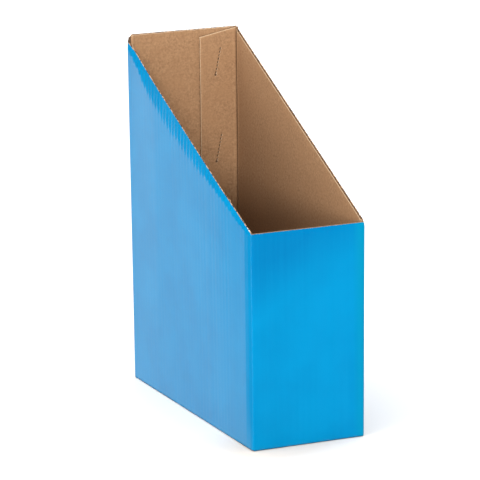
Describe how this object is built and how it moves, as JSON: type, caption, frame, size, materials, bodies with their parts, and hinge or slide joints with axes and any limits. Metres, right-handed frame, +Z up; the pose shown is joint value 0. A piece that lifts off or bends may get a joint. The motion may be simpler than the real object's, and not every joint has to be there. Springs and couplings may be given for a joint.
{
  "type": "open cardboard box",
  "caption": "Tall narrow open-top box with slanted side rims, folded from one sheet of fluted board, blue outside and bare kraft inside.",
  "frame": {"origin": "centre of the base, on the floor", "axes": "+Z up, the low front panel faces -Y, the tall back panel faces +Y, +X to the right seen from the front"},
  "size_m": [0.103, 0.258, 0.31],
  "materials": {
    "board": "printed, satin"
  },
  "bodies": {
    "root": {"folded_box": "board"}
  },
  "joints": []
}
